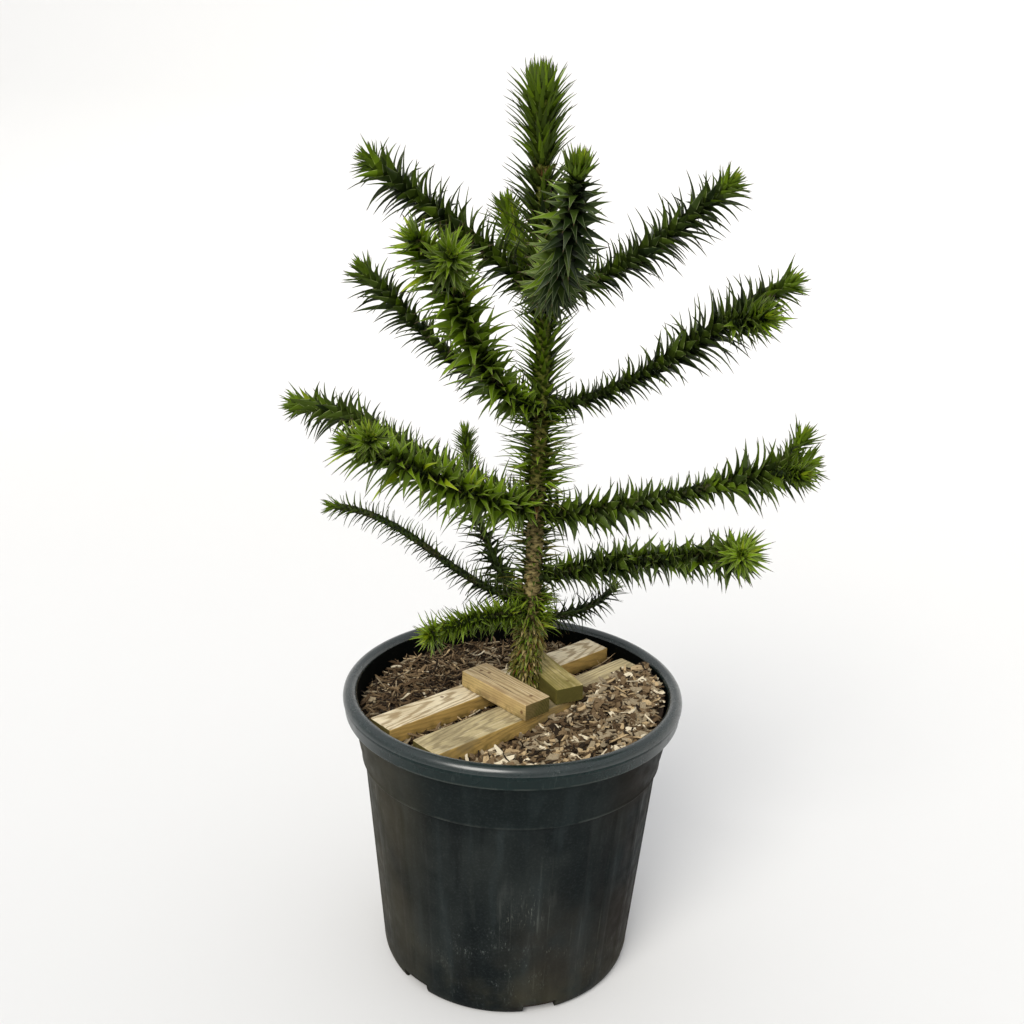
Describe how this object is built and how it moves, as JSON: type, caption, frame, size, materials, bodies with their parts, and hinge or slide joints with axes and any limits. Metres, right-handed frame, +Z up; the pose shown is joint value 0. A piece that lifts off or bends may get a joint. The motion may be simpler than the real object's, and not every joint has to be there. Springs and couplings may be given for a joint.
{
  "type": "potted monkey puzzle tree",
  "caption": "Young monkey puzzle tree with whorls of spiny boughs, in a round black nursery pot with wooden battens laid over its bark mulch.",
  "frame": {"origin": "centre of the flat underside of the pot", "axes": "+Z up the trunk, -Y towards the front that the picture shows, +X to the right of that front"},
  "size_m": [0.6859, 0.4952, 1.173],
  "materials": {
    "pot_plastic": "dusty, slightly worn black plastic",
    "bark_mulch": "loose shredded bark and wood chips",
    "pale_pine": "sawn, weathered softwood",
    "mossy_pine": "sawn softwood with a green film of algae",
    "bark": "rough bark with leaf scars",
    "old_leaves": "leathery dark green leaves",
    "young_leaves": "leathery bright green leaves"
  },
  "bodies": {
    "root": {"bark_mulch": "bark_mulch", "batten_front": "pale_pine", "batten_rear": "pale_pine", "batten_short_left": "pale_pine", "batten_short_right": "mossy_pine", "bough_foot_back": "bark", "bough_foot_front": "bark", "bough_lower_back": "bark", "bough_lower_left": "bark", "bough_lower_right": "bark", "bough_middle_front": "bark", "bough_middle_left": "bark", "bough_middle_right": "bark", "bough_top_back": "bark", "bough_top_front": "bark", "bough_top_left": "bark", "bough_top_right": "bark", "bough_upper_front": "bark", "bough_upper_left": "bark", "bough_upper_right": "bark", "foliage_foot_back": "old_leaves", "foliage_foot_front": "old_leaves", "foliage_lower_back": "old_leaves", "foliage_lower_left": "old_leaves", "foliage_lower_right": "old_leaves", "foliage_middle_front": "old_leaves", "foliage_middle_front_shoot": "young_leaves", "foliage_middle_left": "old_leaves", "foliage_middle_right": "old_leaves", "foliage_middle_right_shoot": "young_leaves", "foliage_middle_right_spur": "young_leaves", "foliage_top_back": "old_leaves", "foliage_top_front": "old_leaves", "foliage_top_left": "old_leaves", "foliage_top_right": "old_leaves", "foliage_upper_front": "old_leaves", "foliage_upper_front_shoot": "young_leaves", "foliage_upper_left": "old_leaves", "foliage_upper_right": "old_leaves", "foliage_upper_right_shoot": "young_leaves", "pot": "pot_plastic", "trunk": "bark", "trunk_foliage_foot": "old_leaves", "trunk_foliage_leader": "young_leaves", "trunk_foliage_lower": "old_leaves", "trunk_foliage_middle": "old_leaves", "trunk_foliage_upper": "old_leaves"}
  },
  "joints": []
}
